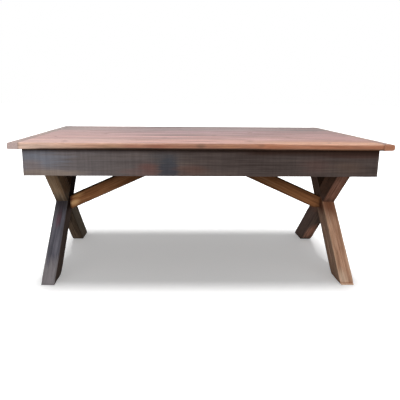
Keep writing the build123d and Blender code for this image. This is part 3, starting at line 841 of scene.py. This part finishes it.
def lathe(rings, segments=48, hollow=False):
    """A closed solid of rings round Z, from its outer end down.

    A ring has its radius and height in mm, and where it isn't round, its number of sides and how far
    down its corners are turned off for each mm that they stand out.
    """
    shape = bmesh.new()
    bmesh.ops.create_circle(shape, segments=segments, radius=1)
    first = edges = shape.edges[:]
    for step, (radius, height, *cut_off) in enumerate(rings):
        if step:
            made = bmesh.ops.extrude_edge_only(shape, edges=edges)["geom"]
            verts = [item for item in made if isinstance(item, bmesh.types.BMVert)]
            edges = [item for item in made if isinstance(item, bmesh.types.BMEdge)
                     and all(vert in verts for vert in item.verts)]
        else:
            verts = shape.verts[:]
        sides, drop = (cut_off + [0, 0])[:2]
        for vert in verts:
            angle = atan2(vert.co.y, vert.co.x)
            out = radius
            if sides:
                out = radius / cos((angle + pi / sides) % (2 * pi / sides) - pi / sides)
            vert.co = Vector((cos(angle) * out, sin(angle) * out, height - drop * (out - radius))) * MM
    if hollow:
        bmesh.ops.bridge_loops(shape, edges=first + edges)
    else:
        for loop in (first, edges):
            bmesh.ops.edgeloop_fill(shape, edges=loop)
    bmesh.ops.recalc_face_normals(shape, faces=shape.faces)
    return shape


def sink_slot(shape, width, length, depth):
    """Sinks a screwdriver's slot, in mm, into the flat end that faces up."""
    for direction, size in ((X, width), (Y, length)):
        cut(shape, direction, [-size / 2 * MM, size / 2 * MM])
    # The faces between the cuts, with a hair to spare.
    half_width, half_length = (1.02 * size / 2 * MM for size in (width, length))
    floor_faces = [
        face for face in shape.faces if face.normal.z > 0.99
        and all(abs(vert.co.x) < half_width and abs(vert.co.y) < half_length for vert in face.verts)
    ]
    made = bmesh.ops.extrude_face_region(shape, geom=floor_faces)["geom"]
    sunk = [item for item in made if isinstance(item, bmesh.types.BMVert)]
    bmesh.ops.translate(shape, vec=-Z * depth * MM, verts=sunk)
    return shape


def put_each(node, model, outward, material):
    """Puts a copy of a model where each solid of a CAD node is, as one piece that stands for the node.

    model makes it from its length in mm, with its outer end at the origin and that end's way out as Z.
    """
    shape = bmesh.new()
    for outer_end, direction, length in solids_of(node, outward):
        single = model(length / MM)
        turn = direction.to_track_quat("Z", "Y").to_matrix().to_4x4()
        bmesh.ops.transform(single, matrix=Matrix.Translation(outer_end) @ turn, verts=single.verts)
        mesh = bpy.data.meshes.new("single")
        single.to_mesh(mesh)
        single.free()
        shape.from_mesh(mesh)
        bpy.data.meshes.remove(mesh)
    finish_piece(shape, "made_" + node, material, [node])


THREAD_RADIUS, THREAD_ROOT, THREAD_TIP, THREAD_PITCH = 5, 4.2, 4, 1.5       # mm, M10
THREADED_LENGTH = 6             # mm, as much of a bolt as shows past its nut
HEX_FACE = 8.5                  # mm, from the middle of a hexagon to its flats
HEX_SIDES, SQUARE_SIDES = 6, 4
THIRTY_DEGREES = tan(radians(30))


def threaded_end(length):
    """The last millimetres of an M10 thread, down to a bolt's end."""
    rings, height = [], THREADED_LENGTH - length
    while height > 1 - length:
        rings += [(THREAD_RADIUS, height), (THREAD_ROOT, height - THREAD_PITCH / 2)]
        height -= THREAD_PITCH
    return rings + [(THREAD_TIP, -length)]


def hex_bolt(length):
    """An M10 bolt, its head's corners turned off at thirty degrees."""
    head_height = 6
    return lathe([
        (8.1, 0), (8.3, -0.05, HEX_SIDES, THIRTY_DEGREES), (HEX_FACE, 0.2 - head_height, HEX_SIDES),
        (8.2, -head_height), (THREAD_RADIUS, -head_height), *threaded_end(length)])


def carriage_bolt(length):
    """A domed head 22 mm across and 5 mm high, on a square neck."""
    dome_radius, dome_height, rim_height, neck_end = 11, 5, 0.4, -11
    sphere = (dome_radius ** 2 + dome_height ** 2) / (2 * dome_height)
    rise = [(sphere * sin(angle), sphere * (cos(angle) - 1))
            for angle in (radians(degrees) for degrees in (1, 8, 15, 22, 29, 36, 42, 47))]
    return lathe([
        *rise, (dome_radius, rim_height - dome_height), (10.7, -dome_height),
        (THREAD_RADIUS, -dome_height, SQUARE_SIDES), (THREAD_RADIUS, neck_end, SQUARE_SIDES),
        (4.9, neck_end - 0.1), *threaded_end(length)])


def hex_nut(length):
    """An M10 nut, its corners turned off at thirty degrees on both sides."""
    bore, flat = 5.15, 8.1
    return lathe([
        (bore, 0), (flat, 0), (HEX_FACE, 0, HEX_SIDES, THIRTY_DEGREES),
        (HEX_FACE, -length, HEX_SIDES, -THIRTY_DEGREES), (flat, -length), (bore, -length)], hollow=True)


def washer(length):
    """A punched washer, its outer arrises rounded."""
    bore, radius, rounding = 5.3, 12, 0.3
    return lathe([
        (bore, 0), (radius - rounding, 0), (radius, -rounding), (radius, rounding - length),
        (radius - rounding, -length), (bore, -length)], hollow=True)


def countersunk_screw(length):
    """A slotted wood screw with a head 9 mm across, tapering over its last 5 mm."""
    head_radius, shank_radius, taper = 4.5, 2.25, 5
    screw = lathe([
        (4.4, 0), (head_radius, -0.2), (shank_radius, -2.8), (shank_radius, taper - length),
        (0.4, -length)], segments=24)
    return sink_slot(screw, width=1.1, length=6.4, depth=1.2)


def barrel_nut(length):
    """A cross dowel 16 mm thick, with a slot in its end to turn it by."""
    radius, chamfer = 8, 0.6
    barrel = lathe([
        (radius - chamfer, 0), (radius, -chamfer), (radius, chamfer - length),
        (radius - chamfer, -length)])
    return sink_slot(barrel, width=1.6, length=11, depth=2)


def dowel(length):
    """An 8 mm peg, eased at the end that shows."""
    radius = 4
    return lathe([(3.4, 0), (3.9, -0.3), (radius, -0.8), (radius, -length)], segments=24)


def outwards(middle):
    return X if middle.x > 0 else -X


def inwards(middle):
    return -outwards(middle)


def downwards(middle):
    return -Z


def backwards(middle):
    return Y


steel, beech = zinc_steel(), beech_dowel()
for node, model, outward in (
    ("cleat_bolts", hex_bolt, outwards),
    ("crossing_bolts", carriage_bolt, outwards),
    ("cleat_nuts", hex_nut, inwards),
    ("cleat_washers", washer, inwards),
    ("button_screws", countersunk_screw, downwards),
    ("top_screws", countersunk_screw, downwards),
    ("brace_screws", countersunk_screw, downwards),
    ("barrel_nuts", barrel_nut, backwards),
):
    put_each(node, model, outward, steel)
for end in ("left", "right"):
    put_each(f"breadboard_pegs_{end}", dowel, downwards, beech)


def eased_buttons():
    """The buttons that hold the apron, with every arris eased."""
    shape = merged_copy("apron_buttons")
    shortest, bluntest = 6 * MM, radians(60)
    eased = [edge for edge in shape.edges
             if edge.calc_length() > shortest and edge.calc_face_angle(0) > bluntest]
    bmesh.ops.bevel(shape, geom=eased, offset=1 * MM, segments=2, profile=0.5, affect="EDGES",
                    material=-1, clamp_overlap=True)
    finish_piece(shape, "eased_buttons", sawn_softwood("sawn_buttons", 66)(Y), ["apron_buttons"])


eased_buttons()


# ---- floor, light and camera ----
FLOOR_RADIUS = 40               # m
FLOOR_GLOW = 0.3                # its own light, which takes its lit parts to plain white
BACK_LIGHT, FRONT_LIGHT = 0.22, 0.4     # of the studio's walls


def seen_or_reflected(tree):
    """1 for the rays of the eye and for what gloss and glass show of them, and 0 for light."""
    path = add(tree, "LightPath")
    seen = add(tree, "Math", {0: path.outputs["Is Camera Ray"], 1: path.outputs["Is Glossy Ray"]},
               operation="MAXIMUM")
    return add(tree, "Math", {0: seen, 1: path.outputs["Is Transmission Ray"]}, operation="MAXIMUM")


def pale_floor():
    """A matt white floor: white to the eye and in reflections, so that only the shadow shows on it."""
    material, tree, shader = start_material("pale_floor")
    shader.inputs["Roughness"].default_value = 1
    shader.inputs["Specular IOR Level"].default_value = 0
    shader.inputs["Emission Color"].default_value = (1, 1, 1, 1)
    seen = seen_or_reflected(tree)
    glow = add(tree, "Math", {0: seen, 1: FLOOR_GLOW}, operation="MULTIPLY")
    colour = add(tree, "Mix", {0: seen, 6: linear("#8A8A8A"), 7: linear("#F4F4F4")}, data_type="RGBA")
    connect(tree, shader, {"Base Color": colour, "Emission Strength": glow})
    return material


floor_shape = bmesh.new()
bmesh.ops.create_circle(floor_shape, cap_ends=True, radius=FLOOR_RADIUS, segments=96)
floor_mesh = bpy.data.meshes.new("floor")
floor_shape.to_mesh(floor_mesh)
floor_shape.free()
floor_mesh.materials.append(pale_floor())
floor = bpy.data.objects.new("floor", floor_mesh)
bpy.context.scene.collection.objects.link(floor)


def studio_world():
    """White to the eye and in reflections, and a softer light from all sides on the table itself."""
    world = bpy.data.worlds.new("studio")
    world.use_nodes = True
    tree = world.node_tree
    tree.nodes.clear()
    direction = add(tree, "SeparateXYZ", {0: add(tree, "TexCoord").outputs["Generated"]})
    light = add(tree, "MapRange", {
        0: direction.outputs["Y"], 1: 1, 2: -1, 3: BACK_LIGHT, 4: FRONT_LIGHT})
    strength = add(tree, "Mix", {0: seen_or_reflected(tree), 2: light, 3: 1.0})
    back = add(tree, "Background", {"Color": (1, 1, 1, 1), "Strength": strength})
    add(tree, "OutputWorld", {"Surface": back})
    bpy.context.scene.world = world


def lamp(name, strength, angle, towards, lit, glares=True):
    """A far lamp that shines along a direction, as soft as its angle, on some objects alone.

    A lamp that doesn't glare isn't mirrored in varnish, as if it shone through a polarising screen.
    """
    data = bpy.data.lights.new(name, "SUN")
    data.energy = strength
    data.angle = radians(angle)
    light = bpy.data.objects.new(name, data)
    light.rotation_euler = Vector(towards).to_track_quat("-Z", "Y").to_euler()
    light.visible_glossy = glares
    bpy.context.scene.collection.objects.link(light)
    receivers = bpy.data.collections.new(name + "_lights")
    for piece in lit:
        receivers.objects.link(piece)
    light.light_linking.receiver_collection = receivers


studio_world()
table_pieces = [piece for piece in bpy.context.scene.objects if piece.type == "MESH" and piece != floor]
lamp("floor_lamp", 4.6, 24, (0, 0, -1), [floor])
lamp("overhead_lamp", 1.5, 14, (0, 0.04, -1), table_pieces)
lamp("front_lamp", 1.8, 20, (0.12, 0.92, -0.37), table_pieces, glares=False)
lamp("back_lamp", 0.5, 60, (-0.12, -0.8, -0.6), table_pieces)

CAMERA_PLACE = Vector((-137.8, -2295.4, 980.1)) * MM
CAMERA_YAW, CAMERA_PITCH, CAMERA_ROLL = 0.0163, -0.1946, 0.0073     # radians
SENSOR = 36                     # mm
PICTURE_PIXELS, FOCAL_PIXELS = 400, 389.46
CENTRE_X, CENTRE_Y = 179.0, 172.1       # pixels, of the lens's axis in the picture


def place_camera():
    """The camera, which stands in front of the table's left half and looks slightly down."""
    yaw, pitch = CAMERA_YAW, CAMERA_PITCH
    ahead = Vector((sin(yaw) * cos(pitch), cos(yaw) * cos(pitch), sin(pitch)))
    right = Vector((cos(yaw), -sin(yaw), 0))
    up = right.cross(ahead)
    rolled_right = right * cos(CAMERA_ROLL) + up * sin(CAMERA_ROLL)
    rolled_up = up * cos(CAMERA_ROLL) - right * sin(CAMERA_ROLL)
    data = bpy.data.cameras.new("camera")
    data.sensor_width = SENSOR
    data.lens = FOCAL_PIXELS / PICTURE_PIXELS * SENSOR
    data.shift_x = 0.5 - CENTRE_X / PICTURE_PIXELS
    data.shift_y = CENTRE_Y / PICTURE_PIXELS - 0.5
    camera = bpy.data.objects.new("camera", data)
    turn = Matrix((rolled_right, rolled_up, -ahead)).transposed()
    camera.matrix_world = Matrix.Translation(CAMERA_PLACE) @ turn.to_4x4()
    bpy.context.scene.collection.objects.link(camera)
    bpy.context.scene.camera = camera


place_camera()
bpy.context.scene.view_settings.view_transform = "Standard"
